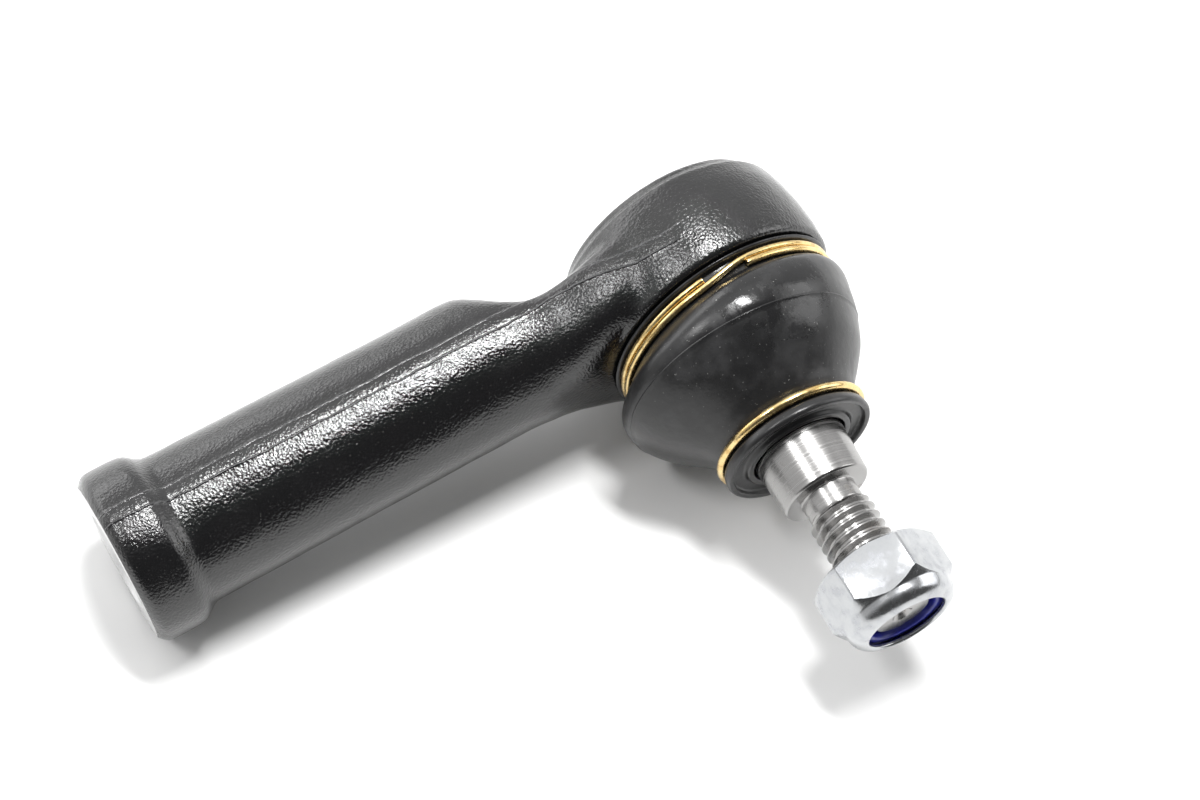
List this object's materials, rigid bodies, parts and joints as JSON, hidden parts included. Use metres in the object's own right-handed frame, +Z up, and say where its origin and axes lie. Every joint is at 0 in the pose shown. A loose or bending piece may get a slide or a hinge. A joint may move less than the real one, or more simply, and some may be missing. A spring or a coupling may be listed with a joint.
{
  "type": "tie rod end",
  "caption": "Outer tie rod end: a forged shank with a threaded socket, a ball stud that tilts and turns in its head, a rubber boot and a self-locking nut.",
  "frame": {"origin": "bottom centre of the bounding box of the part lying on its side", "axes": "+X from the shank's open end towards the head, -Y the way the stud points, +Z up"},
  "size_m": [0.1143, 0.0802, 0.0396],
  "materials": {
    "black_coat": "glossy black coat over a grained forging",
    "plate_steel": "coated pressed steel",
    "spring_steel": "satin",
    "pad_acetal": "greased moulded plastic",
    "acetal": "greased moulded plastic",
    "bright_steel": "ground and turned, bright",
    "rubber": "semi-matt moulded rubber",
    "gold_wire": "yellow passivated spring wire",
    "zinc_plate": "bright zinc plate",
    "blue_nylon": "satin nylon"
  },
  "bodies": {
    "housing": {"housing": "black_coat", "closing_plate": "plate_steel", "preload_spring": "spring_steel", "pressure_pad": "pad_acetal", "ball_seat": "acetal", "boot_upper_ring": "gold_wire"},
    "boot": {"boot": "rubber"},
    "boot_lip": {"boot_lower_ring": "gold_wire"},
    "stud": {"ball_stud": "bright_steel"},
    "nut_travel": {"nylon_insert": "blue_nylon"},
    "nut": {"lock_nut": "zinc_plate"}
  },
  "joints": [
    {"name": "boot_turn", "type": "hinge", "parent": "housing", "child": "boot", "pos_m": [0.0373, 0.0186, 0.0198], "axis": [0, -1, 0], "continuous": true},
    {"name": "stud_swing", "type": "hinge", "parent": "boot", "child": "boot_lip", "pos_m": [0.0373, 0.0186, 0.0198], "axis": [0, 0, 1], "range_deg": [-17.7, 26.3], "deforming": ["boot"]},
    {"name": "stud_spin", "type": "hinge", "parent": "boot_lip", "child": "stud", "pos_m": [0.0373, 0.0186, 0.0198], "axis": [-0.075, -0.9972, 0], "continuous": true},
    {"name": "nut_travel", "type": "slide", "parent": "stud", "child": "nut_travel", "axis": [-0.075, -0.9972, 0], "range_m": [-0.0085, 0.0085]},
    {"name": "nut_turn", "type": "hinge", "parent": "nut_travel", "child": "nut", "pos_m": [0.0373, 0.0186, 0.0198], "axis": [-0.075, -0.9972, 0], "range_deg": [-2035, 2035]}
  ],
  "couplings": [
    {"joint": "nut_travel", "follows": "nut_turn", "m_per_rad": 0.00023873}
  ]
}
